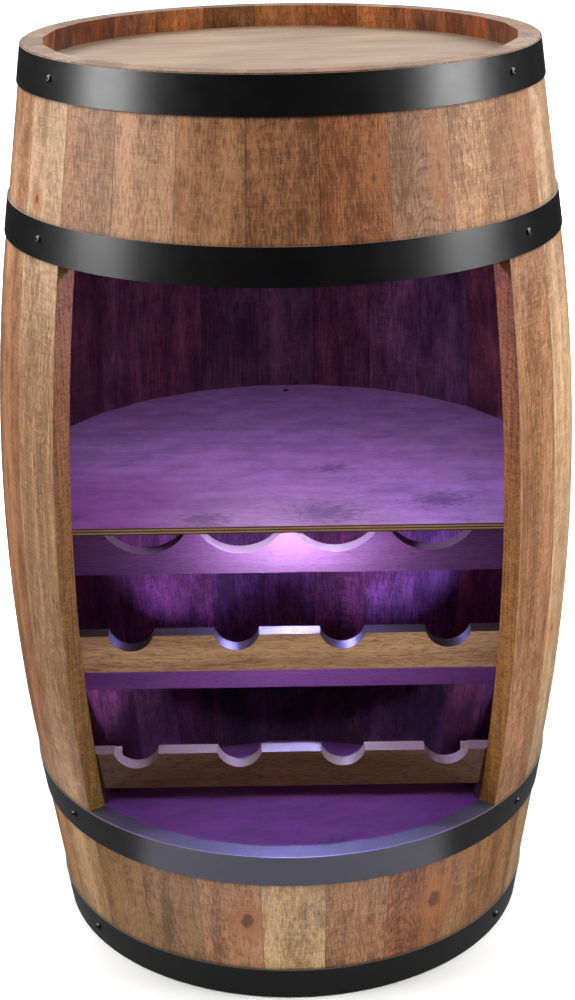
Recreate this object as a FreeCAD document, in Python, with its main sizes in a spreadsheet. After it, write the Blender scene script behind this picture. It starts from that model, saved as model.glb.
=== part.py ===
import FreeCAD, Part
import os
import Sketcher

# Barrel bar cabinet: a coopered barrel on end, with staves cut away at the front over a
# glass shelf and a two-row bottle rack, lit by two push lamps.
# Millimetres and degrees. +Z is up and the opening faces -Y. The origin is on the floor, under the
# middle of the cabinet's box; pieces are drawn about the barrel's axis and then moved by AXIS_Y.

SIZES = (
    # barrel
    ("barrel_height", 800.0),
    ("bilge_radius", 254.5),
    ("taper_angle", 8.24),
    ("cone_height", 158.0),
    ("stave_count", 26),
    ("open_staves", 7),
    ("stave_thickness", 18.0),
    # heads
    ("head_recess", 19.0),
    ("head_thickness", 12.0),
    ("croze_depth", 5.0),
    ("head_play", 0.3),
    # hoops
    ("hoop_width", 30.0),
    ("hoop_thickness", 1.5),
    ("end_hoop_gap", 1.0),
    ("opening_edge", 155.0),
    ("lap_angle", 13.0),
    # glass shelf
    ("shelf_height", 412.5),
    ("shelf_thickness", 6.2),
    ("shelf_front", 149.6),
    ("cleat_reach", 22.0),
    ("cleat_length", 120.0),
    ("cleat_height", 18.0),
    ("cleat_back", 30.0),
    # bottle rack
    ("bottle_count", 4),
    ("bottle_pitch", 90.0),
    ("neck_rail_front", 150.0),
    ("neck_rail_thickness", 16.0),
    ("neck_rail_height", 33.5),
    ("neck_rail_low", 174.2),
    ("neck_rail_high", 286.7),
    ("neck_notch_radius", 20.0),
    ("neck_notch_depth", 14.3),
    ("body_rail_front", 44.0),
    ("body_rail_thickness", 18.0),
    ("body_rail_height", 46.0),
    ("body_rail_low", 173.5),
    ("body_rail_high", 294.0),
    ("body_notch_radius", 46.0),
    ("body_notch_depth", 25.5),
    ("block_reach", 26.0),
    ("block_depth", 20.0),
    ("block_height", 22.0),
    # push lamps
    ("ceiling_lamp_front", 142.0),
    ("shelf_lamp_front", 18.0),
    ("lamp_sides", 8),
    ("lamp_radius", 35.0),
    ("lamp_wall", 2.0),
    ("lamp_depth", 24.0),
    ("lamp_well", 9.5),
    ("lens_radius", 26.0),
    ("lens_stand", 2.5),
    ("lens_flange", 3.5),
    ("lens_flange_thickness", 2.0),
    ("lens_gap", 0.3),
)

doc = FreeCAD.newDocument("barrel_bar_cabinet")
sheet = doc.addObject("Spreadsheet::Sheet", "sizes")
for row, (alias, size) in enumerate(SIZES, start=1):
    sheet.set(f"A{row}", alias)
    sheet.set(f"B{row}", str(size))
    sheet.setAlias(f"B{row}", alias)
doc.recompute()

HEIGHT = "sizes.barrel_height"
MIDDLE = "(sizes.barrel_height / 2)"
TAPER = "sizes.taper_angle"
BILGE = "sizes.bilge_radius"
WALL = "sizes.stave_thickness"
STAVE_ANGLE = "(360 / sizes.stave_count)"
BOW_HALF = f"({MIDDLE} - sizes.cone_height)"
BOW_RADIUS = f"({BOW_HALF} / sin({TAPER}))"
CONE_RADIUS = f"({BILGE} - {BOW_HALF} * tan({TAPER} / 2))"
END_RADIUS = f"({CONE_RADIUS} - sizes.cone_height * tan({TAPER}))"
PLACE = (
    "create(<<placement>>; create(<<vector>>; {x}; {y}; {z}); "
    "create(<<rotation>>; create(<<vector>>; 0; 0; 1); {turn}) * "
    "create(<<rotation>>; create(<<vector>>; 0; 1; 0); {tilt}))"
)


def number(expression):
    """The value of an expression over the sheet."""
    return float(sheet.evalExpression(expression.replace("sizes.", "")))


def cone(distance):
    """Outer wall radius at a distance from the nearer end, on that end's straight cone."""
    return f"({END_RADIUS} + ({distance}) * tan({TAPER}))"


AXIS_Y = f"(({cone('sizes.opening_edge')} + sizes.hoop_thickness - {BILGE}) / 2)"


def bow_inside(height):
    """Distance from the axis to the inner wall at a height on the bow."""
    drop = f"{BOW_RADIUS} - sqrt({BOW_RADIUS} ^ 2 - ({height} - {MIDDLE}) ^ 2)"
    return f"({BILGE} - {WALL} - ({drop}))"


def half_chord(height, offset):
    """Half the width between the inner walls at a height and a distance from the axis plane."""
    return f"sqrt({bow_inside(height)} ^ 2 - ({offset}) ^ 2)"


def place(thing, x="0", y="0", z="0", turn="0", tilt="0"):
    """Tilt a thing about Y, turn it about Z and move it, all by expressions."""
    thing.setExpression("Placement", PLACE.format(x=x, y=y, z=z, turn=turn, tilt=tilt))
    return thing


def group(name, members, **spot):
    """One object that holds its members, at a place of its own."""
    bundle = doc.addObject("Part::Compound", name)
    bundle.Links = members
    return place(bundle, **spot)


def box(name, length, width, height, **spot):
    block = doc.addObject("Part::Box", name)
    block.setExpression("Length", length)
    block.setExpression("Width", width)
    block.setExpression("Height", height)
    return place(block, **spot)


def cylinder(name, radius, height, **spot):
    rod = doc.addObject("Part::Cylinder", name)
    rod.setExpression("Radius", radius)
    rod.setExpression("Height", height)
    return place(rod, **spot)


def boolean(kind, name, base, tool):
    """Part::Cut, Part::Common or Part::Fuse of two objects."""
    result = doc.addObject(kind, name)
    result.Base = base
    result.Tool = tool
    return result


def arc_through(start, end, radius):
    """The counter-clockwise arc of a radius from start to end."""
    middle = (start + end) / 2
    along = end - start
    outward = FreeCAD.Vector(along.y, -along.x, 0).normalize()
    rise = radius - (radius ** 2 - (along.Length / 2) ** 2) ** 0.5
    return Part.Arc(start, middle + outward * rise, end)


def section(body, name, corners, arcs=None):
    """A closed sketch on the body's XZ plane, each corner a pair of expressions.

    arcs gives the radius of each edge that is round, by the number of its first corner.
    """
    arcs = arcs or {}
    sketch = body.newObject("Sketcher::SketchObject", name)
    plane = [datum for datum in body.Origin.OriginFeatures if datum.Role == "XZ_Plane"][0]
    sketch.AttachmentSupport = [(plane, "")]
    sketch.MapMode = "FlatFace"
    points = [FreeCAD.Vector(number(across), number(up), 0) for across, up in corners]
    for index, start in enumerate(points):
        end = points[(index + 1) % len(points)]
        if index in arcs:
            sketch.addGeometry(arc_through(start, end, number(arcs[index])), False)
        else:
            sketch.addGeometry(Part.LineSegment(start, end), False)
    for index, corner in enumerate(corners):
        follower = (index + 1) % len(corners)
        sketch.addConstraint(Sketcher.Constraint("Coincident", index, 2, follower, 1))
        for kind, axis, name_start, size in (
            ("DistanceX", -2, "across", corner[0]),
            ("DistanceY", -1, "up", corner[1]),
        ):
            if size == "0":
                sketch.addConstraint(Sketcher.Constraint("PointOnObject", index, 1, axis))
            else:
                rule = Sketcher.Constraint(kind, -1, 1, index, 1, number(size))
                sketch.renameConstraint(sketch.addConstraint(rule), f"{name_start}_{index}")
                sketch.setExpression(f"Constraints.{name_start}_{index}", size)
    for index, radius in arcs.items():
        rule = Sketcher.Constraint("Radius", index, number(radius))
        sketch.renameConstraint(sketch.addConstraint(rule), f"bend_{index}")
        sketch.setExpression(f"Constraints.bend_{index}", radius)
    return sketch


def spin(body, kind, sketch, angle="360"):
    """A Revolution or Groove of a sketch about the body's Z axis, even about the XZ plane."""
    feature = body.newObject(kind, sketch.Name + "_turned")
    feature.Profile = sketch
    feature.ReferenceAxis = (sketch, ["V_Axis"])
    feature.Midplane = True
    feature.setExpression("Angle", angle)
    return feature


def turned(name, corners, arcs=None, angle="360"):
    """A body turned from one closed section."""
    body = doc.addObject("PartDesign::Body", name)
    spin(body, "PartDesign::Revolution", section(body, name + "_section", corners, arcs), angle)
    return body


def barrel_form(inset):
    """Corners and arcs of the barrel's half section, inset from its outer wall."""
    end = f"{END_RADIUS} - {inset}"
    shoulder = f"{CONE_RADIUS} - {inset}"
    corners = [
        ("0", "0"),
        (end, "0"),
        (shoulder, "sizes.cone_height"),
        (shoulder, f"{HEIGHT} - sizes.cone_height"),
        (end, HEIGHT),
        ("0", HEIGHT),
    ]
    return corners, {2: BOW_RADIUS}


# ---------------------------------------------------------------- barrel inside

core_corners, core_arcs = barrel_form(WALL)
core = turned("barrel_inside", core_corners, core_arcs)


def fitted(name, blank):
    """A blank trimmed to the round that touches every stave's inner face."""
    return boolean("Part::Common", name, blank, core)


# ---------------------------------------------------------------- staves

CROZE_LOW = "sizes.head_recess"
CROZE_HIGH = "(sizes.head_recess + sizes.head_thickness)"
CROZE_MIDDLE = "(sizes.head_recess + sizes.head_thickness / 2)"
CROZE_RADIUS = f"({cone(CROZE_MIDDLE)} - {WALL} + sizes.croze_depth)"


def grooved_form():
    """Corners and arcs of the half section between two opposite staves, crozes included."""
    foot = [
        ("0", "0"),
        (f"{END_RADIUS} - {WALL}", "0"),
        (f"{cone(CROZE_LOW)} - {WALL}", CROZE_LOW),
        (CROZE_RADIUS, CROZE_LOW),
        (CROZE_RADIUS, CROZE_HIGH),
        (f"{cone(CROZE_HIGH)} - {WALL}", CROZE_HIGH),
        (f"{CONE_RADIUS} - {WALL}", "sizes.cone_height"),
    ]
    top = [(across, f"{HEIGHT} - {up}") for across, up in reversed(foot)]
    return foot + top, {len(foot) - 1: BOW_RADIUS}


def full_stave():
    """One stave about the +X axis: round outside, planed flat and grooved for the heads inside."""
    corners, arcs = barrel_form("0")
    body = turned("full_stave", corners, arcs, STAVE_ANGLE)
    planing = body.newObject("PartDesign::Pocket", "planing")
    planing.Profile = section(body, "planing_section", *grooved_form())
    planing.SideType = "Symmetric"
    planing.setExpression("Length", f"2 * {BILGE}")
    return body


def zone(name, low, high):
    """A block that holds all of the barrel between two heights."""
    across = f"2 * {BILGE}"
    return box(name, across, across, f"{high} - ({low})", x=f"-{BILGE}", y=f"-{BILGE}", z=low)


whole = full_stave()
upper_zone = zone("upper_zone", f"{HEIGHT} - sizes.opening_edge", HEIGHT)
lower_zone = zone("lower_zone", "0", "sizes.opening_edge")
sawn = group("sawn_stave", [
    boolean("Part::Common", "upper_piece", whole, upper_zone),
    boolean("Part::Common", "lower_piece", whole, lower_zone),
])

# ---------------------------------------------------------------- hoops

INNER_FAR = "sizes.opening_edge"
INNER_NEAR = "(sizes.opening_edge - sizes.hoop_width)"
END_NEAR = "sizes.end_hoop_gap"
END_FAR = "(sizes.end_hoop_gap + sizes.hoop_width)"
HOOPS = {
    "top_hoop": (END_NEAR, END_FAR, True),
    "upper_hoop": (INNER_NEAR, INNER_FAR, True),
    "lower_hoop": (INNER_NEAR, INNER_FAR, False),
    "bottom_hoop": (END_NEAR, END_FAR, False),
}


def level(distance, upper):
    """Height of a point at a distance from the top end or from the bottom end."""
    return f"{HEIGHT} - ({distance})" if upper else f"({distance})"


def band_corners(near, far, upper, lift):
    """Half section of a flat strip on the cone, lifted off the wood."""
    outside = f"{lift} + sizes.hoop_thickness"
    steps = ((near, lift), (near, outside), (far, outside), (far, lift))
    return [(f"{cone(distance)} + {out}", level(distance, upper)) for distance, out in steps]


def hoop(name, near, far, upper):
    """A strip closed round the barrel, its ends lapped at the back."""
    strip = turned(name, band_corners(near, far, upper, "0"))
    lap = band_corners(near, far, upper, "sizes.hoop_thickness")
    lap_section = section(strip, name + "_lap", lap)
    spin(strip, "PartDesign::Revolution", lap_section, "sizes.lap_angle")
    return place(strip, turn="90")


# ---------------------------------------------------------------- heads and shelf

HALF_STAVE = "(180 / sizes.stave_count)"


def many_sided(name, flat_radius, height, low):
    """A board with one straight edge for each stave, seated on the staves' flat faces."""
    outline = doc.addObject("Part::RegularPolygon", name + "_outline")
    outline.setExpression("Polygon", "sizes.stave_count")
    outline.setExpression("Circumradius", f"{flat_radius} / cos({HALF_STAVE})")
    board = doc.addObject("Part::Extrusion", name)
    board.Base = outline
    board.DirMode = "Custom"
    board.Dir = FreeCAD.Vector(0, 0, 1)
    board.Solid = True
    board.setExpression("LengthFwd", height)
    return place(board, z=low, turn=f"-90 + sizes.open_staves / 2 * {STAVE_ANGLE}")


def head(name, low):
    """A ply head, held by its edge in the crozes."""
    return many_sided(name, f"({CROZE_RADIUS} - sizes.head_play)", "sizes.head_thickness", low)


def shelf():
    """The ply shelf, seated on the staves all round but for its straight front edge."""
    thickness = "sizes.shelf_thickness"
    depth = f"sizes.shelf_front + {BILGE}"
    top = "(sizes.shelf_height + sizes.shelf_thickness)"
    blank = many_sided("shelf_blank", bow_inside(top), thickness, "sizes.shelf_height")
    kept = box(
        "shelf_kept", f"2 * {BILGE}", depth, thickness,
        x=f"-{BILGE}", y="-sizes.shelf_front", z="sizes.shelf_height")
    return boolean("Part::Common", "shelf_cut", blank, kept)


def cleats():
    """Three wooden cleats on the inner wall, under the shelf's two sides and its back."""
    low = "sizes.shelf_height - sizes.cleat_height"
    reach = "sizes.cleat_reach"
    wall = bow_inside("sizes.shelf_height")
    side = ("2 * " + reach, "sizes.cleat_length", "sizes.cleat_height")
    side_y = "-sizes.cleat_length + sizes.cleat_back"
    blanks = group("cleat_blanks", [
        box("cleat_left", *side, x=f"-{wall} - {reach}", y=side_y, z=low),
        box("cleat_right", *side, x=f"{wall} - {reach}", y=side_y, z=low),
        box("cleat_rear", "sizes.cleat_length", "2 * " + reach, "sizes.cleat_height",
            x="-sizes.cleat_length / 2", y=f"{wall} - {reach}", z=low),
    ])
    return fitted("cleats_round", blanks)


# ---------------------------------------------------------------- bottle rack


RAIL_FRONTS = {"neck": "-sizes.neck_rail_front", "body": "sizes.body_rail_front"}


def rail(kind, row):
    """A rack rail across the barrel, notched along its top for each bottle."""
    label = f"{kind}_{row}"
    front = RAIL_FRONTS[kind]
    thickness = f"sizes.{kind}_rail_thickness"
    height = f"sizes.{kind}_rail_height"
    radius = f"sizes.{kind}_notch_radius"
    low = f"sizes.{kind}_rail_{row}"
    board = box(
        label + "_board", f"2 * {BILGE}", thickness, height, x=f"-{BILGE}", y=front, z=low)
    saws = []
    for bottle in range(int(number("sizes.bottle_count"))):
        across = f"({bottle} - (sizes.bottle_count - 1) / 2) * sizes.bottle_pitch"
        centre = f"{low} + {height} - sizes.{kind}_notch_depth + {radius}"
        saws.append(cylinder(
            f"{label}_saw_{bottle}", radius, f"3 * {thickness}",
            x=across, y=f"{front} - {thickness}", z=centre, turn="90", tilt="90"))
    notched = boolean("Part::Cut", label + "_notched", board, group(label + "_saws", saws))
    return fitted(label + "_round", notched)


def rail_blocks():
    """Glue blocks behind both ends of every rail, shaped to the wall."""
    blanks = []
    for kind, front in RAIL_FRONTS.items():
        back = f"{front} + sizes.{kind}_rail_thickness"
        for row in ("low", "high"):
            low = f"sizes.{kind}_rail_{row}"
            wall = half_chord(low, back)
            for side, start in (
                ("left", f"-{wall} - sizes.block_reach"),
                ("right", f"{wall} - sizes.block_reach"),
            ):
                blanks.append(box(
                    f"block_{kind}_{row}_{side}", "2 * sizes.block_reach", "sizes.block_depth",
                    "sizes.block_height", x=start, y=back, z=low))
    return fitted("blocks_round", group("block_blanks", blanks))


# ---------------------------------------------------------------- push lamps
# Each lamp is drawn with its mounting face at the origin and its lens up, then hung upside down.

LENS_SEAT = "(sizes.lamp_depth - sizes.lamp_wall - sizes.lens_gap)"
LAMPS = {
    "ceiling": ("-sizes.ceiling_lamp_front", f"{HEIGHT} - {CROZE_HIGH}"),
    "shelf": ("-sizes.shelf_lamp_front", "sizes.shelf_height"),
}


def prism(name, radius, low, high):
    """A regular prism about the lamp's axis, between two heights."""
    block = doc.addObject("Part::Prism", name)
    block.setExpression("Polygon", "sizes.lamp_sides")
    block.setExpression("Circumradius", radius)
    block.setExpression("Height", f"{high} - ({low})")
    return place(block, z=low)


def lamp_housing():
    """A faceted puck with a well for the lens, and a lip round the well that keeps the lens in."""
    depth = "sizes.lamp_depth"
    puck = prism("puck", "sizes.lamp_radius", "0", depth)
    flange_room = "(sizes.lens_radius + sizes.lens_flange + 2 * sizes.lens_gap)"
    bottom = f"{depth} - sizes.lamp_well"
    well = boolean(
        "Part::Fuse", "lamp_well",
        prism("flange_room", flange_room, bottom, f"{depth} - sizes.lamp_wall"),
        prism("lens_hole", "(sizes.lens_radius + sizes.lens_gap)", bottom, f"2 * {depth}"))
    return boolean("Part::Cut", "puck_with_well", puck, well)


def lamp_lens():
    """The push lens, with a flange behind the housing's lip."""
    back = f"{LENS_SEAT} - sizes.lens_flange_thickness"
    return boolean(
        "Part::Fuse", "lens_form",
        prism("lens_disc", "sizes.lens_radius", back, "(sizes.lamp_depth + sizes.lens_stand)"),
        prism("lens_flange_ring", "(sizes.lens_radius + sizes.lens_flange)", back, LENS_SEAT))


def hung(name, thing, lamp):
    """One lamp's copy of a piece, under the top head or under the shelf."""
    front, height = LAMPS[lamp]
    return group(name, [thing], y=front, z=height, tilt="180")


# ---------------------------------------------------------------- the sub-parts

nodes = []


def sub_part(label, thing, turn="0"):
    """A named sub-part: a finished piece, turned about the barrel's axis and put in its place."""
    nodes.append(group(label, [thing], y=AXIS_Y, turn=turn))


STAVE_COUNT = int(number("sizes.stave_count"))
OPEN_STAVES = int(number("sizes.open_staves"))
for count in range(STAVE_COUNT - OPEN_STAVES):
    swing = f"-90 + ({count} + (sizes.open_staves + 1) / 2) * {STAVE_ANGLE}"
    sub_part(f"stave_{count + 1:02d}", whole, turn=swing)
for count in range(OPEN_STAVES):
    swing = f"-90 + ({count} - (sizes.open_staves - 1) / 2) * {STAVE_ANGLE}"
    sub_part(f"front_stave_{count + 1}", sawn, turn=swing)
sub_part("hoops", group("hoop_set", [hoop(name, *edges) for name, edges in HOOPS.items()]))
sub_part("top_head", head("top_disc", f"{HEIGHT} - {CROZE_HIGH}"))
sub_part("bottom_head", head("bottom_disc", CROZE_LOW))
sub_part("glass_shelf", shelf())
sub_part("shelf_cleats", cleats())

for rail_row in ("low", "high"):
    for kind in ("neck", "body"):
        sub_part(f"{kind}_rail_{rail_row}", rail(kind, rail_row))
sub_part("rail_blocks", rail_blocks())

housing = lamp_housing()
lens = lamp_lens()
for lamp in LAMPS:
    sub_part(f"{lamp}_lamp_housing", hung(f"{lamp}_housing_hung", housing, lamp))
    sub_part(f"{lamp}_lamp_lens", hung(f"{lamp}_lens_hung", lens, lamp))

doc.recompute()
for thing in doc.Objects:
    if "Invalid" in thing.State or "Error" in thing.State:
        raise RuntimeError(f"{thing.Label} failed: {thing.State}")
os.makedirs("parts", exist_ok=True)
for node in nodes:
    if node.Shape.isNull() or not node.Shape.isValid() or not node.Shape.Solids:
        raise RuntimeError(f"{node.Label} has no valid solid")
    node.Shape.exportStep(f"parts/{node.Label}.step")
    print(f"{node.Label}: {len(node.Shape.Solids)} solids, {node.Shape.Volume / 1000:.1f} cm3")
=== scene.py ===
import math
import random

import bmesh
import bpy
from mathutils import Matrix, Vector


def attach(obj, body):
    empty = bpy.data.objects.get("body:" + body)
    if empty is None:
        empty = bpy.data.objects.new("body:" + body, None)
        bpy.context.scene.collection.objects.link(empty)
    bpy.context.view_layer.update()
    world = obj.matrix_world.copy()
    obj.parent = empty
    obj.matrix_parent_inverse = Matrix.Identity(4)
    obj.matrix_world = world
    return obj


# Barrel bar cabinet: materials, fasteners, light and camera. Metres; the barrel stands on z 0 and
# opens to -Y, with its own axis at x 0, y AXIS_Y. Noise scales are in features per metre, or per
# radian round a hoop.

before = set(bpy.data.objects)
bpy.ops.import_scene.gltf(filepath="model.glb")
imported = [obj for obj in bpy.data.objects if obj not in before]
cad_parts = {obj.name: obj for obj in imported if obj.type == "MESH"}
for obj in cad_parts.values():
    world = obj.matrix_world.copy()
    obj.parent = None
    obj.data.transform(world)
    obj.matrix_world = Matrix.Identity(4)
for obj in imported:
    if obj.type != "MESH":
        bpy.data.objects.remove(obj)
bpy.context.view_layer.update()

# sizes of the part
AXIS_Y = -0.008183
STAVE_STEP = math.radians(360 / 26)
HEIGHT = 0.8
MIDDLE = HEIGHT / 2
TAPER = math.radians(8.24)
END_RADIUS = 0.21419
CUT_LOW = 0.155
HOOP_SPANS = ((0.001, 0.031), (0.125, 0.155), (0.645, 0.675), (0.769, 0.799))
HOOP_THICKNESS = 0.0015
SHELF_LOW, SHELF_HIGH = 0.4125, 0.4187
SHELF_PLIES = 5
CEILING_LAMP_Y = -0.1502
SHELF_LAMP_Y = -0.0262


# ---------------------------------------------------------------- wiring of node trees


class Wiring:
    """Adds nodes to a tree. Every value given is a socket or a plain number, vector or colour."""

    def __init__(self, tree):
        self.tree = tree

    def feed(self, node, values):
        """Link or set a node's inputs."""
        for key, value in dict(values).items():
            if isinstance(value, bpy.types.NodeSocket):
                self.tree.links.new(value, node.inputs[key])
            else:
                node.inputs[key].default_value = value

    def add(self, kind, values=(), **settings):
        node = self.tree.nodes.new(kind)
        for key, setting in settings.items():
            setattr(node, key, setting)
        self.feed(node, values)
        return node

    def math(self, operation, *values, clamp=False):
        node = self.add(
            "ShaderNodeMath", dict(enumerate(values)), operation=operation, use_clamp=clamp)
        return node.outputs[0]

    def plus(self, a, b):
        return self.math("ADD", a, b)

    def minus(self, a, b):
        return self.math("SUBTRACT", a, b)

    def times(self, a, b):
        return self.math("MULTIPLY", a, b)

    def absolute(self, value):
        return self.math("ABSOLUTE", value)

    def clamped(self, value):
        """A value held between 0 and 1."""
        return self.math("ADD", value, 0.0, clamp=True)

    def sway(self, value, noise, amount):
        """A value moved both ways by a noise, whose middle is 0.5."""
        return self.plus(value, self.times(self.minus(noise, 0.5), amount))

    def step(self, value, low, high, start=0.0, end=1.0):
        """From start to end, smoothly, as value goes from low to high; high may be the lesser."""
        values = {0: value, 1: low, 2: high, 3: start, 4: end}
        node = self.add("ShaderNodeMapRange", values, interpolation_type="SMOOTHSTEP", clamp=True)
        return node.outputs[0]

    def near(self, value, centre, width):
        """1 where value is at centre, 0 further off than width."""
        return self.step(self.absolute(self.minus(value, centre)), 0.0, width, 1.0, 0.0)

    def vector(self, x, y, z):
        return self.add("ShaderNodeCombineXYZ", {0: x, 1: y, 2: z}).outputs[0]

    def length(self, vector):
        return self.add("ShaderNodeVectorMath", {0: vector}, operation="LENGTH").outputs["Value"]

    def noise(self, vector, detail=2.0, roughness=0.5, distortion=0.0, scale=1.0):
        values = {
            "Vector": vector, "Scale": scale, "Detail": detail, "Roughness": roughness,
            "Distortion": distortion}
        return self.add("ShaderNodeTexNoise", values).outputs[0]

    def grain(self, place, scales, **settings):
        """Noise with a scale of its own for each of the three coordinates."""
        stretched = [self.times(value, scale) for value, scale in zip(place, scales)]
        return self.noise(self.vector(*stretched), **settings)

    def mix(self, factor, a, b, blend="MIX"):
        node = self.add(
            "ShaderNodeMix", {0: factor, 6: a, 7: b}, data_type="RGBA", blend_type=blend)
        return node.outputs[2]

    def times_colour(self, base, stain_and_painted_light):
        """A colour multiplied by another."""
        return self.mix(1.0, base, stain_and_painted_light, "MULTIPLY")

    def tone(self, base, factor):
        """A colour made darker or lighter by a factor."""
        return self.times_colour(base, self.vector(factor, factor, factor))

    def times_colour_where(self, mask, base, stain_and_painted_light):
        return self.mix(mask, base, self.times_colour(base, stain_and_painted_light))

    def tone_where(self, mask, base, factor):
        return self.mix(mask, base, self.tone(base, factor))

    def spot(self):
        """x, y, z of the shaded point in the row frame."""
        place = self.add("ShaderNodeTexCoord").outputs["Object"]
        return self.add("ShaderNodeSeparateXYZ", {0: place}).outputs

    def facing(self):
        """x, y, z of the flat face's normal."""
        normal = self.add("ShaderNodeNewGeometry").outputs["True Normal"]
        return self.add("ShaderNodeSeparateXYZ", {0: normal}).outputs

    def bump(self, height, strength, distance):
        return self.add("ShaderNodeBump", {
            "Strength": strength, "Distance": distance, "Height": height}).outputs[0]


def colour(r, g, b):
    return (r, g, b, 1.0)


def material(name):
    """A new material with its wiring and its shader."""
    made = bpy.data.materials.new(name)
    made.use_nodes = True
    wires = Wiring(made.node_tree)
    return made, wires, made.node_tree.nodes["Principled BSDF"]


def dress(name, made):
    """Give a CAD node a material."""
    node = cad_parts[name]
    node.data.materials.clear()
    node.data.materials.append(made)


# ---------------------------------------------------------------- stave wood

KNOTS = (
    # degrees round from the front, height, radius, stretch along the stave
    (-10.5, 0.083, 0.0088, 1.0),
    (33.0, 0.080, 0.0088, 1.3),
    (-62.0, 0.262, 0.0060, 1.0),
    (66.0, 0.300, 0.0065, 1.0),
    (-58.0, 0.690, 0.0040, 1.0),
    (17.5, 0.722, 0.0044, 1.3),
    (18.8, 0.738, 0.0032, 1.0),
    (31.5, 0.728, 0.0052, 2.6),
    (118.0, 0.480, 0.0070, 1.0),
    (-132.0, 0.560, 0.0065, 1.0),
)
KNOT_SQUEEZE = 1.25     # every knot is this much narrower across the stave
KNOT_HALO = colour(0.40, 0.150, 0.050)
KNOT_RING = colour(0.14, 0.065, 0.03)
KNOT_HEART = colour(0.075, 0.035, 0.02)

ARCH_PITCH = 0.0085
PALE_CURL = colour(0.8, 0.62, 0.42)
CUT_BLACK = colour(0.032, 0.029, 0.036)

# stains, painted light and painted shade, which the wood's colour is multiplied by
GREY_PATCH = colour(0.46, 0.43, 0.43)
WARM_PATCH = colour(1.2, 0.92, 0.70)
# painted violet lamp light on the inner wall: strong behind the rack, weaker above the shelf
RACK_WALL_PAINTED_LIGHT = (colour(0.62, 0.34, 1.25), colour(0.46, 0.36, 1.60))
HALL_WALL_PAINTED_LIGHT = (colour(0.50, 0.40, 0.44), colour(0.33, 0.42, 0.62))
RIM_MIDDLE = colour(0.57, 0.44, 0.32)
RIM_BESIDE = colour(0.82, 0.50, 0.20)
# painted shade on the rim's inner sides
RIM_SIDES_PAINTED_SHADE = colour(0.39, 0.19, 0.08)
SAWN_SIDE = colour(1.42, 1.26, 0.50)
WEATHERED = colour(0.70, 0.77, 0.84)
# painted shade on the left of the belly, painted light on its right
BELLY_LEFT_PAINTED_SHADE = colour(0.78, 0.68, 0.60)
BELLY_RIGHT_PAINTED_LIGHT = colour(1.32, 1.30, 1.22)
FOOT = colour(0.98, 0.93, 0.72)

# heights between which the inner wall's stain and its painted light and shade change
WELL_PAINTED_SHADOW = (0.090, 0.145)
SHELF_CHANGE = (0.395, 0.415)
RIM_CHANGE = (0.770, 0.782)
RIGHT_SHADE_TOP = (0.770, 0.765)


class StavePlace:
    """Where the shaded point lies on its stave, with noise that runs along the grain."""

    def __init__(self, w, seed):
        self.w = w
        self.x, y, self.z = w.spot()
        self.y = w.minus(y, AXIS_Y)
        self.angle = w.math("ARCTAN2", self.y, self.x)
        self.radius = w.math("SQRT", w.plus(w.times(self.x, self.x), w.times(self.y, self.y)))
        turns = w.math("DIVIDE", w.plus(self.angle, math.pi / 2), STAVE_STEP)
        # -0.5 to 0.5 from joint to joint
        self.local = w.minus(turns, w.math("FLOOR", w.plus(turns, 0.5)))
        self.across = w.times(w.times(self.local, STAVE_STEP), self.radius)
        # moved by the seed, so that no two staves are cut from the same wood
        self.shifted = w.plus(self.across, w.times(seed, 0.37))
        self.along = w.plus(self.z, w.times(seed, 1.71))

    def noise(self, across_scale, along_scale, **settings):
        return self.w.grain(
            (self.shifted, self.radius, self.along), (across_scale, across_scale, along_scale),
            **settings)


def plain_wood(w, at, given):
    """The wood before stains and knots: its colour, fibre, flecks and blotches."""
    light, dark = given["Light"], given["Dark"]
    fibre = at.noise(640.0, 13.0, detail=4.0, roughness=0.75)
    fleck = w.step(at.noise(680.0, 80.0, detail=3.0, roughness=0.65), 0.50, 0.62)
    streak = at.noise(42.0, 1.7, detail=3.0, roughness=0.55)
    blotch = at.noise(40.0, 27.0, detail=6.0, roughness=0.70)
    ripple = at.noise(60.0, 640.0, detail=2.0)
    drift = at.noise(26.0, 9.0, detail=2.0)

    # arches of the sawn figure, off centre by the seed
    offset = w.times(w.math("SINE", w.times(given["Seed"], 91.7)), 0.016)
    side = w.plus(at.across, offset)
    arch = w.sway(w.plus(at.along, w.times(w.times(side, side), 70.0)), drift, 0.055)
    bands = w.math("SINE", w.times(arch, 2 * math.pi / ARCH_PITCH))
    bands = w.times(w.step(bands, 0.3, 1.0), w.step(blotch, 0.35, 0.6))

    value = w.sway(0.55, streak, 2.4)
    value = w.sway(value, fibre, 3.2)
    value = w.sway(value, blotch, 2.2)
    value = w.sway(value, ripple, 0.9)
    value = w.minus(value, w.times(w.times(bands, given["Figure"]), 0.5))
    base = w.mix(w.clamped(value), w.tone(dark, 0.75), w.tone(light, 1.12))
    base = w.tone_where(w.times(fleck, 0.50), base, 0.45)

    grey = w.times(w.step(blotch, 0.50, 0.66), given["Blotch"])
    base = w.times_colour_where(grey, base, GREY_PATCH)
    warm = w.times(w.step(blotch, 0.44, 0.26), given["Blotch"])
    base = w.times_colour_where(w.times(warm, 0.7), base, WARM_PATCH)

    # thin pale curls, each with a darker line beside it
    swirl = at.noise(30.0, 21.0, detail=1.0, distortion=1.6)
    patch = w.times(w.step(drift, 0.52, 0.60), given["Wisps"])
    beside = w.times(w.near(swirl, 0.478, 0.025), w.times(patch, 0.5))
    base = w.mix(beside, base, w.tone(dark, 0.6))
    curl = w.times(w.near(swirl, 0.5, 0.010), w.times(patch, 0.7))
    base = w.mix(curl, base, w.mix(0.6, light, PALE_CURL))
    return base, fibre, fleck, blotch


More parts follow.
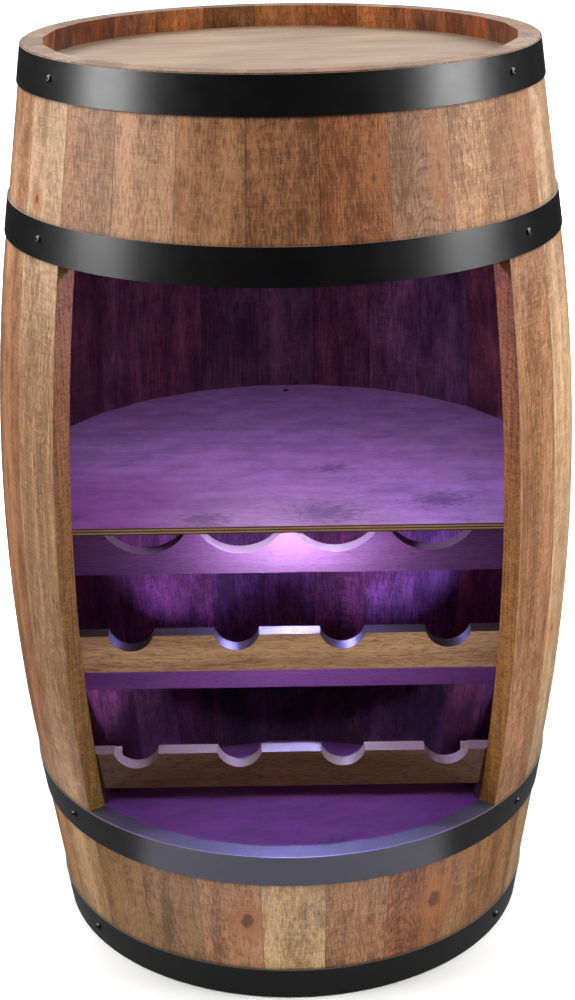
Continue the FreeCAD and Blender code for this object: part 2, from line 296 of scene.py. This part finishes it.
def with_knots(w, at, base, blotch):
    """The wood with its knots, each a halo with rings in it and a dark heart."""
    for degrees, height, size, stretch in KNOTS:
        gap = w.minus(at.angle, math.radians(degrees - 90))
        reach = w.vector(
            w.times(w.times(gap, at.radius), KNOT_SQUEEZE), 0.0,
            w.times(w.minus(at.z, height), 1 / stretch))
        away = w.sway(w.length(reach), blotch, size * 4.5)
        halo = w.step(away, size * 0.8, size * 3.6, 1.0, 0.0)
        base = w.mix(w.times(halo, 0.65), base, KNOT_HALO)
        rings = w.math("SINE", w.times(away, 2 * math.pi / (size * 0.55)))
        ringed = w.times(w.times(w.step(rings, 0.2, 1.0), halo), 0.30)
        base = w.mix(ringed, base, KNOT_RING)
        base = w.mix(w.step(away, size * 0.25, size * 0.9, 0.8, 0.0), base, KNOT_HEART)
    return base


def inner_wood(w, at, base, seed):
    """The inner wall: cloudy, with painted violet lamp light, paler behind the rack and duller
    above the shelf, and brown in the rim, with painted shade on the rim's sides.
    """
    hue = w.plus(0.5, w.times(w.math("SINE", w.times(seed, 53.0)), 0.5))
    rack = w.mix(hue, *RACK_WALL_PAINTED_LIGHT)
    # painted shadow of the rack: darker towards the bottom head, with painted light above
    rack = w.tone(rack, w.step(at.z, *WELL_PAINTED_SHADOW, 0.34, 1.20))
    stain_and_painted_light = w.mix(w.step(at.z, *SHELF_CHANGE), rack, w.mix(hue, *HALL_WALL_PAINTED_LIGHT))

    rim = w.mix(w.near(at.x, 0.0, 0.10), RIM_BESIDE, RIM_MIDDLE)
    # painted shade: the rim's inner sides darker
    rim = w.mix(w.step(w.absolute(at.x), 0.10, 0.16), rim, RIM_SIDES_PAINTED_SHADE)
    stain_and_painted_light = w.mix(w.step(at.z, *RIM_CHANGE), stain_and_painted_light, rim)

    # painted shade: darker on the right, up to the rim
    right = w.times(w.step(at.x, 0.085, 0.14), w.step(at.z, *RIGHT_SHADE_TOP))
    stain_and_painted_light = w.tone(stain_and_painted_light, w.minus(1.0, w.times(right, 0.33)))

    cloud = w.grain(
        (at.shifted, 0.0, at.along), (34.0, 1.0, 15.0), detail=5.0, roughness=0.7)
    return w.times_colour(w.tone(base, w.step(cloud, 0.32, 0.68, 0.45, 1.55)), stain_and_painted_light)


def sawn_wood(w, at, base):
    """The sawn sides: a golden stain and the marks of the saw."""
    marks = w.grain((at.radius, 0.0, at.z), (330.0, 1.0, 520.0), detail=4.0)
    marks = w.step(marks, 0.44, 0.62)
    return w.times_colour(w.tone_where(w.times(marks, 0.50), base, 0.35), SAWN_SIDE)


def end_wood(w, at, base, blotch):
    """End grain, weathered on the rim and nearly black on the lower cut."""
    pores = w.step(w.noise(w.vector(at.x, at.y, at.z), scale=900.0, detail=2.0), 0.5, 0.7)
    lines = w.step(w.grain((at.shifted, at.radius, 0.0), (90.0, 900.0, 1.0)), 0.4, 0.7)
    end = w.mix(lines, w.tone(base, 0.78), w.tone(base, 0.55))
    end = w.mix(w.times(pores, 0.5), end, w.tone(base, 0.35))
    end = w.times_colour_where(w.step(at.z, HEIGHT - 0.02, HEIGHT - 0.01), end, WEATHERED)
    return w.mix(w.near(at.z, CUT_LOW, 0.004), end, w.tone(CUT_BLACK, w.plus(0.4, blotch)))


def stave_group():
    """Colour, roughness and relief of one stave, from a light and a dark tone and a seed."""
    tree = bpy.data.node_groups.new("stave_wood", "ShaderNodeTree")
    for name, kind in (
        ("Light", "Color"), ("Dark", "Color"), ("Seed", "Float"), ("Figure", "Float"),
        ("Wisps", "Float"), ("Blotch", "Float"),
    ):
        tree.interface.new_socket(name, in_out="INPUT", socket_type="NodeSocket" + kind)
    for name, kind in (("Color", "Color"), ("Roughness", "Float"), ("Normal", "Vector")):
        tree.interface.new_socket(name, in_out="OUTPUT", socket_type="NodeSocket" + kind)
    w = Wiring(tree)
    given = w.add("NodeGroupInput").outputs
    at = StavePlace(w, given["Seed"])
    base, fibre, fleck, blotch = plain_wood(w, at, given)
    base = with_knots(w, at, base, blotch)

    # which face: inside of the barrel, sawn side or end
    nx, ny, nz = w.facing()
    outward = w.math("DIVIDE", w.plus(w.times(nx, at.x), w.times(ny, at.y)), at.radius)
    inside = w.step(outward, -0.5, -0.8)
    end = w.step(w.absolute(nz), 0.6, 0.8)
    sawn = w.times(w.step(w.absolute(outward), 0.60, 0.40), w.minus(1.0, end))
    base = w.mix(inside, base, inner_wood(w, at, base, given["Seed"]))
    base = w.mix(sawn, base, sawn_wood(w, at, base))
    base = w.mix(end, base, end_wood(w, at, base, blotch))

    # painted shade makes the belly darker on the left and painted light makes it paler on the far
    # right; below the opening it is warmer
    belly_light_and_shade = w.step(w.absolute(w.minus(at.z, MIDDLE)), 0.12, 0.27, 1.0, 0.0)
    base = w.times_colour_where(belly_light_and_shade, base, w.mix(w.step(at.x, 0.05, 0.15), BELLY_LEFT_PAINTED_SHADE, BELLY_RIGHT_PAINTED_LIGHT))
    base = w.times_colour_where(w.step(at.z, CUT_LOW + 0.01, CUT_LOW - 0.01), base, FOOT)
    base = w.tone(base, 1.06)

    # joints, and a painted shadow line at each edge of a hoop
    seam = w.times(w.step(w.absolute(at.local), 0.489, 0.4985), 0.62)
    base = w.tone_where(seam, base, 0.22)
    for span in HOOP_SPANS:
        for edge in span:
            hoop_shadow_line = w.times(w.near(at.z, edge, 0.0035), w.step(outward, 0.3, 0.7))
            base = w.tone_where(w.times(hoop_shadow_line, 0.5), base, 0.3)

    height = w.minus(w.times(fibre, 0.7), w.plus(w.times(fleck, 0.5), w.times(seam, 2.0)))
    w.add("NodeGroupOutput", {
        "Color": base, "Roughness": w.plus(w.times(fibre, 0.25), 0.36),
        "Normal": w.bump(height, 0.35, 0.0004)})
    return tree


# light tone, dark tone
PALE = (colour(0.520, 0.335, 0.205), colour(0.330, 0.195, 0.105))
TAN = (colour(0.448, 0.240, 0.130), colour(0.263, 0.120, 0.054))
PINK = (colour(0.388, 0.202, 0.111), colour(0.240, 0.108, 0.051))
GOLD = (colour(0.397, 0.191, 0.086), colour(0.223, 0.095, 0.039))
RED = (colour(0.405, 0.153, 0.062), colour(0.230, 0.075, 0.029))
BROWN = (colour(0.369, 0.163, 0.073), colour(0.192, 0.076, 0.031))
GREY = (colour(0.290, 0.166, 0.084), colour(0.165, 0.087, 0.042))
DUSK = (colour(0.340, 0.141, 0.060), colour(0.175, 0.064, 0.026))
SAND = (colour(0.510, 0.275, 0.138), colour(0.300, 0.138, 0.058))
AMBER = (colour(0.385, 0.198, 0.104), colour(0.225, 0.099, 0.043))
CREAM = (colour(0.660, 0.450, 0.270), colour(0.430, 0.270, 0.145))

FRONT_TONES = (
    # upper piece, lower piece, figure, wisps, blotch
    (PINK, GREY, 0.70, 0.30, 0.45),
    (TAN, GREY, 0.30, 0.15, 0.35),
    (GOLD, TAN, 0.25, 0.10, 0.80),
    (BROWN, CREAM, 0.40, 0.10, 0.90),
    (RED, TAN, 0.55, 0.20, 0.40),
    (PINK, DUSK, 0.90, 0.55, 0.40),
    (SAND, PINK, 0.45, 0.95, 0.45),
)
FULL_TONES = (
    AMBER, PALE, TAN, BROWN, PINK, GOLD, AMBER, TAN, BROWN, GOLD,
    GREY, AMBER, TAN, BROWN, GOLD, TAN, GREY, TAN, PALE,
)


def stave_material(name, group, upper, lower, seed, figure, wisps, blotch):
    """One stave's wood; a stave that was sawn through has two pieces with tones of their own."""
    made, w, shader = material(name + "_wood")
    values = {
        "Light": upper[0], "Dark": upper[1], "Seed": seed, "Figure": figure, "Wisps": wisps,
        "Blotch": blotch}
    if lower is not None:
        top = w.math("GREATER_THAN", w.spot()[2], MIDDLE)
        values["Light"] = w.mix(top, lower[0], upper[0])
        values["Dark"] = w.mix(top, lower[1], upper[1])
        values["Seed"] = w.plus(seed, w.times(top, 5.3))
    wood = w.add("ShaderNodeGroup", values, node_tree=group).outputs
    w.feed(shader, {
        "Base Color": wood["Color"], "Roughness": wood["Roughness"], "Normal": wood["Normal"],
        "Specular IOR Level": 0.35})
    return made


def dress_staves():
    group = stave_group()
    rng = random.Random(26)
    for index, (upper, lower, figure, wisps, blotch) in enumerate(FRONT_TONES, start=1):
        name = f"front_stave_{index}"
        seed = rng.uniform(1, 9)
        dress(name, stave_material(name, group, upper, lower, seed, figure, wisps, blotch))
    for index, tones in enumerate(FULL_TONES, start=1):
        name = f"stave_{index:02d}"
        seed = rng.uniform(1, 9)
        extra = rng.uniform(0.15, 0.7), rng.uniform(0.0, 0.4), rng.uniform(0.2, 0.6)
        dress(name, stave_material(name, group, tones, None, seed, *extra))


# ---------------------------------------------------------------- boards, shelf, rails, blocks

RING_PITCH = 0.021
BOARD_STAINS = (
    # x, y, radius
    (0.034, -0.128, 0.030),
    (0.132, -0.102, 0.024),
    (-0.070, -0.140, 0.018),
    (0.040, -0.020, 0.014),
)
# painted shade on the shelf's left front, painted violet light on its right front
SHELF_LEFT_PAINTED_SHADE = colour(0.67, 0.37, 0.70)
SHELF_RIGHT_PAINTED_LIGHT = colour(1.11, 1.03, 1.41)
DARK_PLY, PALE_PLY = colour(0.075, 0.038, 0.018), colour(0.42, 0.25, 0.11)
DARK_CUT, PALE_CUT = colour(0.13, 0.085, 0.055), colour(0.19, 0.13, 0.085)


def worn_face(w, x, y, base):
    """A board's face with specks and stained patches, darker towards the front."""
    stains = w.grain((x, y, 5.0), (22.0, 34.0, 1.0), detail=6.0, roughness=0.75)
    crumbs = w.grain((x, y, 2.0), (110.0, 190.0, 1.0), detail=4.0, roughness=0.7)
    fore = w.step(y, 0.02, -0.15)
    base = w.tone(base, w.step(stains, 0.35, 0.62, 1.12, 0.76))
    specks = w.times(w.step(crumbs, 0.60, 0.68), w.step(stains, 0.45, 0.52))
    spots = w.math("MAXIMUM", w.step(stains, 0.57, 0.66), specks)
    spots = w.times(spots, w.plus(0.15, w.times(fore, 0.55)))
    base = w.tone_where(spots, base, 0.4)
    for stain_x, stain_y, size in BOARD_STAINS:
        reach = w.vector(w.minus(x, stain_x), w.times(w.minus(y, stain_y), 1.3), 0.0)
        away = w.sway(w.length(reach), stains, size * 2.5)
        away = w.sway(away, crumbs, size * 5.5)
        base = w.tone_where(w.step(away, size * 0.3, size * 1.3, 0.9, 0.0), base, 0.38)
    return w.tone(base, w.minus(1.0, w.times(fore, 0.33)))


def shelf_face(w, x, y, z, base):
    """The shelf's painted light and shade, and its edge of plies.

    Towards the front, painted shade makes it deeper and redder on the left, and painted violet
    light makes it paler and bluer on the right.
    """
    left = w.times(w.step(x, -0.03, -0.16), w.step(y, 0.06, -0.12))
    right = w.times(w.step(x, 0.02, 0.14), w.step(y, 0.04, -0.12))
    base = w.times_colour_where(left, base, SHELF_LEFT_PAINTED_SHADE)
    base = w.times_colour_where(right, base, SHELF_RIGHT_PAINTED_LIGHT)
    ply = w.times(w.minus(z, SHELF_LOW), SHELF_PLIES / (SHELF_HIGH - SHELF_LOW))
    odd = w.math("MODULO", w.math("FLOOR", ply), 2.0)
    wander = w.grain((x, y, z), (40.0, 40.0, 900.0), detail=3.0)
    edge = w.tone(w.mix(odd, DARK_PLY, PALE_PLY), w.plus(0.45, wander))
    level = w.step(w.absolute(w.facing()[2]), 0.5, 0.6)
    return w.mix(level, edge, base)


def veneer(name, light, dark, roughness, turn=0.0, cloud=1.0, worn=False, shelf=False):
    """Rotary-cut veneer, its grain along X turned by an angle."""
    made, w, shader = material(name)
    x, y, z = w.spot()
    c, s = math.cos(turn), math.sin(turn)
    along = w.plus(w.times(x, c), w.times(y, s))
    across = w.minus(w.times(y, c), w.times(x, s))
    flow = w.grain((along, across, 0.0), (6.0, 14.0, 1.0), detail=3.0)
    bent = w.sway(across, flow, 0.035)
    fibre = w.grain((along, bent, 0.0), (14.0, 480.0, 1.0), detail=4.0, roughness=0.65)
    cloudy = w.grain((along, bent, 3.1), (9.0, 26.0, 1.0), detail=4.0)
    ring = w.plus(bent, w.times(along, 0.05))
    ring = w.math("SINE", w.times(ring, 2 * math.pi / RING_PITCH))
    value = w.sway(0.5, cloudy, 1.4 * cloud)
    value = w.sway(value, fibre, 1.3)
    value = w.minus(value, w.times(w.step(ring, 0.1, 1.0), 0.16))
    base = w.mix(w.clamped(value), dark, light)
    pore = w.step(w.grain((along, bent, 0.0), (90.0, 900.0, 1.0)), 0.58, 0.72)
    base = w.tone_where(w.times(pore, 0.30), base, 0.5)
    smudge = w.noise(w.vector(x, y, 1.7), scale=19.0, detail=3.0, roughness=0.6)
    base = w.tone_where(w.times(w.step(smudge, 0.60, 0.75), 0.35), base, 0.62)
    if worn:
        base = worn_face(w, x, y, base)
    if shelf:
        base = shelf_face(w, x, y, z, base)
    w.feed(shader, {
        "Base Color": base, "Roughness": w.plus(w.times(fibre, 0.2), roughness - 0.1),
        "Normal": w.bump(w.minus(fibre, pore), 0.25, 0.0003), "Specular IOR Level": 0.35})
    return made


def rail_material(name, light, dark, pores=0.6, cut=1.0):
    """Straight-grained hardwood along X with short dark pores.

    The front and back are planed; the other faces are sawn, in a plain tone times cut.
    """
    made, w, shader = material(name)
    x, y, z = w.spot()
    wave = w.grain((x, z, y), (7.0, 30.0, 30.0), detail=2.0)
    up = w.sway(z, wave, 0.010)
    fibre = w.grain((x, y, up), (38.0, 620.0, 620.0), detail=4.0, roughness=0.7)
    band = w.grain((x, y, up), (3.0, 70.0, 70.0), detail=3.0)
    value = w.sway(w.sway(0.5, band, 1.3), fibre, 1.5)
    base = w.mix(w.clamped(value), dark, light)
    pore = w.step(w.grain((x, y, up), (150.0, 900.0, 900.0), detail=1.0), 0.53, 0.66)
    base = w.tone_where(w.times(pore, pores), base, 0.35)
    sawn = w.step(w.absolute(w.facing()[1]), 0.7, 0.5)
    base = w.mix(sawn, base, w.tone(w.mix(fibre, DARK_CUT, PALE_CUT), cut))
    w.feed(shader, {
        "Base Color": base, "Roughness": w.plus(w.times(fibre, 0.25), 0.35),
        "Normal": w.bump(w.minus(fibre, pore), 0.35, 0.0004), "Specular IOR Level": 0.3})
    return made


def dress_boards():
    dress("top_head", veneer(
        "top_head_ply", colour(0.305, 0.211, 0.139), colour(0.146, 0.094, 0.058), 0.5,
        turn=math.radians(8), cloud=1.2))
    # the bottom head's purple is painted violet lamp light
    dress("bottom_head", veneer(
        "bottom_head_ply", colour(0.150, 0.040, 0.104), colour(0.085, 0.020, 0.060), 0.55,
        turn=0.3, worn=True))
    dress("glass_shelf", veneer(
        "shelf_ply", colour(0.465, 0.327, 0.245), colour(0.277, 0.174, 0.133), 0.5,
        cloud=0.6, worn=True, shelf=True))
    dress("neck_rail_high", rail_material(
        "upper_front_rail", colour(0.78, 0.45, 0.225), colour(0.20, 0.09, 0.034), cut=0.16))
    dress("neck_rail_low", rail_material(
        "lower_front_rail", colour(0.155, 0.072, 0.036), colour(0.060, 0.024, 0.012), cut=0.78))
    # the back rails' purple tones are painted violet lamp light
    dress("body_rail_high", rail_material(
        "upper_back_rail", colour(0.205, 0.090, 0.100), colour(0.120, 0.048, 0.059), pores=0.3))
    dress("body_rail_low", rail_material(
        "lower_back_rail", colour(0.250, 0.084, 0.160), colour(0.147, 0.045, 0.095), pores=0.3))
    block = rail_material("blocks", colour(0.28, 0.16, 0.08), colour(0.16, 0.08, 0.04))
    dress("rail_blocks", block)
    dress("shelf_cleats", block)


# ---------------------------------------------------------------- steel and lamps

BLACK = colour(0.003, 0.003, 0.0032)
# painted highlight for the hoop's edges
EDGE_PAINTED_HIGHLIGHT = colour(0.13, 0.12, 0.11)
LENS_GLOW_RADIUS = 0.027
LENS_GLOW = colour(0.55, 0.25, 1.0)


def steel(name):
    """Satin black steel with faint brushing round the hoop and a paler edge, which is a painted
    highlight.
    """
    made, w, shader = material(name)
    x, y, z = w.spot()
    around = w.math("ARCTAN2", w.minus(y, AXIS_Y), x)
    brush = w.grain((around, 0.0, z), (9.0, 1.0, 2600.0), detail=3.0)
    mottle = w.noise(w.vector(x, y, z), scale=60.0, detail=4.0, roughness=0.6)
    base = w.tone(BLACK, w.plus(0.75, w.times(mottle, 0.5)))
    # painted highlight: the hoop's edge faces paler
    edge = w.step(w.absolute(w.facing()[2]), 0.6, 0.8)
    rough = w.plus(0.21, w.plus(w.times(brush, 0.11), w.times(mottle, 0.11)))
    w.feed(shader, {
        "Base Color": w.mix(w.times(edge, 0.8), base, EDGE_PAINTED_HIGHLIGHT), "Roughness": rough,
        "Normal": w.bump(w.plus(brush, mottle), 0.12, 0.0002), "Specular IOR Level": 0.65})
    return made


def moulded(name):
    """Fine-grained white moulded plastic."""
    made, w, shader = material(name)
    place = w.vector(*w.spot())
    grain = w.noise(place, scale=1400.0, detail=2.0)
    soft = w.noise(place, scale=40.0, detail=2.0)
    w.feed(shader, {
        "Base Color": w.mix(soft, colour(0.74, 0.74, 0.75), colour(0.66, 0.66, 0.68)),
        "Roughness": w.plus(0.42, w.times(grain, 0.2)), "Normal": w.bump(grain, 0.2, 0.0002)})
    return made


def lit_lens(name, centre_y):
    """A milky lens, brighter over the emitters in its middle."""
    made, w, shader = material(name)
    x, y, z = w.spot()
    away = w.length(w.vector(x, w.minus(y, centre_y), 0.0))
    glow = w.step(away, 0.0, LENS_GLOW_RADIUS, 1.0, 0.35)
    frost = w.noise(w.vector(x, y, z), scale=1800.0, detail=1.0)
    w.feed(shader, {
        "Base Color": w.mix(frost, colour(0.80, 0.74, 0.93), colour(0.72, 0.64, 0.90)),
        "Roughness": w.plus(0.2, w.times(frost, 0.15)),
        "Emission Color": w.tone(LENS_GLOW, glow), "Emission Strength": 3.0})
    return made


def dress_metal_and_lamps():
    """Returns the hoops' steel, for the fasteners."""
    hoop_steel = steel("hoop_steel")
    dress("hoops", hoop_steel)
    plastic = moulded("lamp_plastic")
    dress("ceiling_lamp_housing", plastic)
    dress("shelf_lamp_housing", plastic)
    dress("ceiling_lamp_lens", lit_lens("ceiling_lens", CEILING_LAMP_Y))
    dress("shelf_lamp_lens", lit_lens("shelf_lens", SHELF_LAMP_Y))
    return hoop_steel


# ---------------------------------------------------------------- new meshes and objects


def in_scene(name, data):
    """A new object, linked to the scene."""
    thing = bpy.data.objects.new(name, data)
    bpy.context.scene.collection.objects.link(thing)
    return thing


def mesh_of(name, shape):
    """A new mesh from a bmesh, which is freed."""
    made = bpy.data.meshes.new(name)
    shape.normal_update()
    shape.to_mesh(made)
    shape.free()
    return made


# ---------------------------------------------------------------- fasteners

HEAD_SIDES = 24

# radius and height of each ring of a head, from its foot to its top
HOOP_SCREW = (
    (0.0031, -0.0004), (0.0034, 0.0002), (0.00335, 0.0007), (0.0030, 0.0013),
    (0.0024, 0.00175), (0.0018, 0.0020), (0.0015, 0.0021))
LAP_RIVET = (
    (0.0042, -0.0004), (0.0045, 0.0002), (0.0042, 0.0008), (0.0034, 0.0013),
    (0.0022, 0.0016), (0.0009, 0.00175))
SHELF_SCREW = (
    (0.0026, -0.0006), (0.0029, 0.0), (0.0029, 0.0006), (0.0024, 0.0014),
    (0.0017, 0.0020), (0.0013, 0.0021))

# degrees round from the front
SCREW_ANGLE = 55.38
LOW_RIGHT_SCREW_ANGLE = 58.6
RIVET_ANGLE = 176.75

SHELF_SCREW_BACK = 0.2180     # from the barrel's axis


def turned_mesh(name, profile, recess=0.0, recess_depth=0.0):
    """A small domed head: rings of a profile about Z, and a six-sided recess in its middle."""
    shape = bmesh.new()
    turns = [2 * math.pi * k / HEAD_SIDES for k in range(HEAD_SIDES)]

    def ring(reaches, height):
        return [
            shape.verts.new((reach * math.cos(turn), reach * math.sin(turn), height))
            for reach, turn in zip(reaches, turns)]

    rings = [ring([radius] * HEAD_SIDES, height) for radius, height in profile]
    if recess:
        sixth = math.pi / 3
        reaches = [
            recess * (math.cos(sixth / 2) / math.cos(turn % sixth - sixth / 2))
            for turn in turns]
        top = profile[-1][1]
        rings += [ring(reaches, top), ring(reaches, top - recess_depth)]
    for lower, upper in zip(rings, rings[1:]):
        for k in range(HEAD_SIDES):
            following = (k + 1) % HEAD_SIDES
            shape.faces.new((lower[k], lower[following], upper[following], upper[k]))
    shape.faces.new(rings[-1])
    shape.faces.new(list(reversed(rings[0])))
    for face in shape.faces:
        face.smooth = len(face.verts) == 4
    return mesh_of(name, shape)


def fasten(name, mesh, made, place, outward):
    """One fastener head, its Z axis along outward, riding on the barrel."""
    thing = in_scene(name, mesh)
    turn = Vector(outward).to_track_quat("Z", "Y").to_matrix().to_4x4()
    thing.matrix_world = Matrix.Translation(Vector(place)) @ turn
    if not mesh.materials:
        mesh.materials.append(made)
    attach(thing, "barrel")


def on_cone(degrees, height, lift):
    """A point off the wood and the direction square to it, at an angle round from the front."""
    upper = height > MIDDLE
    distance = HEIGHT - height if upper else height
    radius = END_RADIUS + distance * math.tan(TAPER)
    around = math.radians(degrees - 90)
    rise = math.sin(TAPER) * (1 if upper else -1)
    outward = Vector((
        math.cos(around) * math.cos(TAPER), math.sin(around) * math.cos(TAPER), rise))
    foot = Vector((radius * math.cos(around), radius * math.sin(around) + AXIS_Y, height))
    return foot + outward * lift, outward


def add_fasteners(black):
    screw = turned_mesh("hoop_screw_head", HOOP_SCREW, 0.00115, 0.0011)
    rivet = turned_mesh("lap_rivet_head", LAP_RIVET)
    count = 0
    for low, high in HOOP_SPANS:
        middle = (low + high) / 2
        right = LOW_RIGHT_SCREW_ANGLE if middle < MIDDLE else SCREW_ANGLE
        for degrees in (-SCREW_ANGLE, right, 180 - SCREW_ANGLE, SCREW_ANGLE - 180):
            count += 1
            place, outward = on_cone(degrees, middle, HOOP_THICKNESS)
            fasten(f"hoop_screw_{count:02d}", screw, black, place, outward)
        for side, degrees in (("a", RIVET_ANGLE), ("b", -RIVET_ANGLE)):
            place, outward = on_cone(degrees, middle, 2 * HOOP_THICKNESS)
            fasten(f"lap_rivet_{side}_{int(middle * 1000)}", rivet, black, place, outward)
    small = turned_mesh("shelf_screw_head", SHELF_SCREW, 0.0010, 0.0010)
    fasten("shelf_screw", small, black, (0.0, AXIS_Y + SHELF_SCREW_BACK, SHELF_HIGH), (0, 0, 1))


# ---------------------------------------------------------------- floor and backdrop

FLOOR_HEIGHT = -0.0002
FLOOR_STEPS = 64
FULL_TURN = 360.0
FRONT_SWEEP = 100.0

# radii of the floor's patches; those that reach the middle begin with FLOOR_MIDDLE
FLOOR_MIDDLE = (0.0001, 0.25)
SKIRT = 0.30
NEAR_FLOOR = 0.55
BACKDROP = 12.0


def floor_patch(name, made, radii, start=0.0, sweep=FULL_TURN):
    """A flat stretch of floor between the first and last radius, over a sweep of degrees."""
    corners = FLOOR_STEPS if sweep == FULL_TURN else FLOOR_STEPS + 1
    turns = [math.radians(start + sweep * k / FLOOR_STEPS) for k in range(corners)]
    shape = bmesh.new()
    rings = [
        [
            shape.verts.new((radius * math.cos(turn), radius * math.sin(turn), FLOOR_HEIGHT))
            for turn in turns]
        for radius in radii]
    for inner, outer in zip(rings, rings[1:]):
        for k in range(FLOOR_STEPS):
            following = (k + 1) % corners
            shape.faces.new((inner[k], outer[k], outer[following], inner[following]))
    patch = in_scene(name, mesh_of(name, shape))
    patch.data.materials.append(made)
    return patch


def add_studio():
    """A pale floor and a lit backdrop all round.

    The far floor and the wall glow as a lit cove does. Only the floor in front of the barrel
    throws light back on it, and of that the skirt right at its foot doesn't show in the hoops.
    """
    made, w, shader = material("pale_floor")
    soft = w.noise(w.vector(*w.spot()), scale=1.5, detail=2.0)
    w.feed(shader, {
        "Base Color": w.mix(soft, colour(0.80, 0.80, 0.80), colour(0.83, 0.83, 0.83)),
        "Roughness": 0.9, "Specular IOR Level": 0.1})
    start = -90 - FRONT_SWEEP / 2
    skirt = floor_patch("floor_skirt", made, (*FLOOR_MIDDLE, SKIRT), start, FRONT_SWEEP)
    skirt.visible_glossy = False
    floor_patch("floor_front", made, (SKIRT, NEAR_FLOOR), start, FRONT_SWEEP)
    beside = floor_patch(
        "floor_beside", made, (*FLOOR_MIDDLE, NEAR_FLOOR), start + FRONT_SWEEP,
        FULL_TURN - FRONT_SWEEP)

    lit, w, shader = material("lit_backdrop")
    soft = w.noise(w.vector(*w.spot()), scale=0.2, detail=2.0)
    glow = w.mix(soft, colour(0.97, 0.97, 0.97), colour(1.0, 1.0, 1.0))
    w.feed(shader, {
        "Base Color": glow, "Roughness": 0.9, "Emission Color": glow, "Emission Strength": 1.1})
    far = floor_patch("floor_far", lit, (NEAR_FLOOR, 1.5, 4.0, 10.0, BACKDROP))
    shape = bmesh.new()
    bmesh.ops.create_cone(
        shape, segments=FLOOR_STEPS, radius1=BACKDROP, radius2=BACKDROP, depth=2 * BACKDROP)
    wall = in_scene("backdrop_wall", mesh_of("backdrop_wall", shape))
    wall.data.materials.append(lit)
    for thing in (beside, far, wall):
        thing.visible_diffuse = False
        thing.visible_glossy = False
        thing.visible_shadow = False


# ---------------------------------------------------------------- light and camera

SOFTBOXES = (
    # name, azimuth, elevation, distance, width, height, power, whether glossy things show it
    ("key_left", -74, 30, 1.8, 0.8, 1.5, 34, True),
    ("key_right", 74, 30, 1.8, 0.8, 1.5, 34, True),
    ("front_fill", 0, 50, 2.4, 1.2, 0.8, 16, False),
    ("background_left", -140, 42, 4.2, 4.0, 4.0, 190, True),
    ("background_right", 140, 42, 4.2, 4.0, 4.0, 190, True),
)

EMITTER_ROW = (0.036, 0.006)
EMITTER_X = 0.003
LAMP_LIGHTS = (
    # name, y, z just under the lens, power, tint, spread in degrees
    ("ceiling_lamp_light", CEILING_LAMP_Y, 0.7420, 2.6, (0.32, 0.21, 1.0), 155),
    ("shelf_lamp_rear_row", -0.0115, 0.3855, 1.5, (0.34, 0.30, 1.0), 180),
    ("shelf_lamp_front_row", -0.0235, 0.3855, 1.0, (0.34, 0.30, 1.0), 180),
    ("shelf_lamp_core", -0.0225, 0.3850, 0.22, (0.5, 1.0, 0.6), 120),
)

# fitted to the photograph; angles in degrees, lens and sensor in millimetres
CAMERA_PLACE = (0.0, -1.64338, 1.01315)
CAMERA_DOWN = 21.035
CAMERA_ROLL = -0.886
CAMERA_LENS = 69.39
CAMERA_SENSOR = 36.0


def softbox(name, azimuth, elevation, distance, across, up, power, mirrored):
    """A large soft light aimed at the barrel; azimuth 0 is behind the camera, positive right."""
    lamp = bpy.data.lights.new(name, "AREA")
    lamp.shape = "RECTANGLE"
    lamp.size, lamp.size_y = across, up
    lamp.energy = power
    thing = in_scene(name, lamp)
    a, e = math.radians(azimuth), math.radians(elevation)
    toward = Vector((math.sin(a) * math.cos(e), -math.cos(a) * math.cos(e), math.sin(e)))
    thing.location = Vector((0, 0, MIDDLE)) + toward * distance
    thing.rotation_euler = toward.to_track_quat("Z", "Y").to_euler()
    thing.visible_camera = False
    thing.visible_glossy = mirrored


def lamp_light(name, y, z, power, tint, spread):
    """Light of a push lamp, from a row of emitters in its lens."""
    lamp = bpy.data.lights.new(name, "AREA")
    lamp.shape = "ELLIPSE"
    lamp.size, lamp.size_y = EMITTER_ROW
    lamp.energy = power
    lamp.color = tint
    lamp.spread = math.radians(spread)
    in_scene(name, lamp).location = (EMITTER_X, y, z)


def add_world():
    """A dim studio: dark at eye level, paler underfoot and overhead, most of all behind."""
    world = bpy.data.worlds.new("studio")
    bpy.context.scene.world = world
    world.use_nodes = True
    w = Wiring(world.node_tree)
    place = w.add("ShaderNodeTexCoord").outputs["Generated"]
    _, y, z = w.add("ShaderNodeSeparateXYZ", {0: place}).outputs
    behind = w.step(y, -0.6, 0.4, 0.05, 0.25)
    overhead = w.times(w.step(z, 0.15, 0.9), behind)
    underfoot = w.times(w.step(z, -0.10, -0.7), 0.20)
    strength = w.plus(0.01, w.plus(overhead, underfoot))
    w.feed(world.node_tree.nodes["Background"], {
        "Color": w.vector(strength, strength, strength)})


def add_camera():
    data = bpy.data.cameras.new("camera")
    data.lens = CAMERA_LENS
    data.sensor_width = CAMERA_SENSOR
    data.sensor_fit = "AUTO"
    camera = in_scene("camera", data)
    roll = Matrix.Rotation(math.radians(CAMERA_ROLL), 4, "Z")
    tilt = Matrix.Rotation(math.radians(90 - CAMERA_DOWN), 4, "X")
    camera.matrix_world = Matrix.Translation(CAMERA_PLACE) @ tilt @ roll
    bpy.context.scene.camera = camera


dress_staves()
dress_boards()
black_steel = dress_metal_and_lamps()
add_fasteners(black_steel)
add_studio()
add_world()
for settings in SOFTBOXES:
    softbox(*settings)
for settings in LAMP_LIGHTS:
    lamp_light(*settings)
add_camera()
bpy.context.scene.view_settings.view_transform = "Standard"
